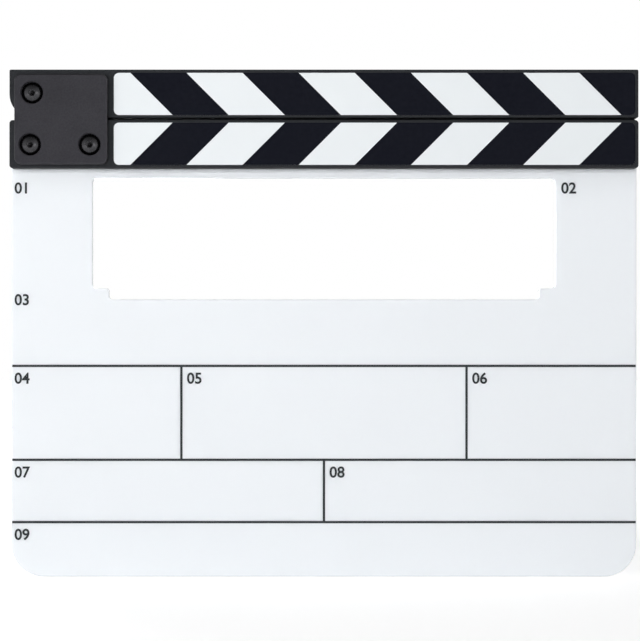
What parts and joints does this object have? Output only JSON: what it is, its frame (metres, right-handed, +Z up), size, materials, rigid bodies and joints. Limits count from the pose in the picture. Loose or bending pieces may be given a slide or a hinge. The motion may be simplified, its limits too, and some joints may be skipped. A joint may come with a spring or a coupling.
{
  "type": "clapperboard",
  "caption": "Hand-held film clapperboard: a white acrylic slate with a window for a time-code display hangs from a lower stick, and a striped upper stick swings on a bolted hinge.",
  "frame": {"origin": "middle of the slate's bottom edge, halfway through its thickness", "axes": "+X to the right along the sticks as seen from the front, +Y to the back, +Z up from the bottom edge to the sticks"},
  "size_m": [0.285, 0.0277, 0.2305],
  "materials": {
    "opal_acrylic": "opal white acrylic sheet, satin face, polished edges",
    "stick_black": "fine-grained matte black",
    "label_white": "satin printed film",
    "ink_black": "screen-printed ink, satin",
    "plate_anodised": "bead-blasted, anodised dark grey",
    "screw_black": "black oxide",
    "bright_steel": "zinc plated",
    "magnet_black": "black epoxy coating on the magnets",
    "brass": "turned brass",
    "bearing_polymer": "dark bearing polymer",
    "nylon": "natural nylon"
  },
  "bodies": {
    "slate": {"slate_board": "opal_acrylic", "lower_stick": "stick_black", "lower_stripe_label": "label_white", "lower_magnets": "magnet_black", "hinge_cover": "plate_anodised", "hinge_backplate": "plate_anodised", "pivot_sleeve": "bright_steel", "pivot_screw": "screw_black", "pivot_spring_washer": "bright_steel", "pivot_locknut": "bright_steel", "locknut_ring": "nylon", "hinge_screws": "screw_black", "nut_washers": "bright_steel", "hinge_nuts": "bright_steel", "stick_inserts": "brass", "board_screw_washers": "screw_black", "board_screws": "screw_black"},
    "clapper": {"upper_stick": "stick_black", "upper_stripe_label": "label_white", "upper_magnets": "magnet_black", "front_bush": "bearing_polymer", "rear_bush": "bearing_polymer"}
  },
  "joints": [
    {"name": "clapper_swing", "type": "hinge", "parent": "slate", "child": "clapper", "pos_m": [-0.1319, 0, 0.2197], "axis": [0, -1, 0], "range_deg": [0, 95]}
  ]
}
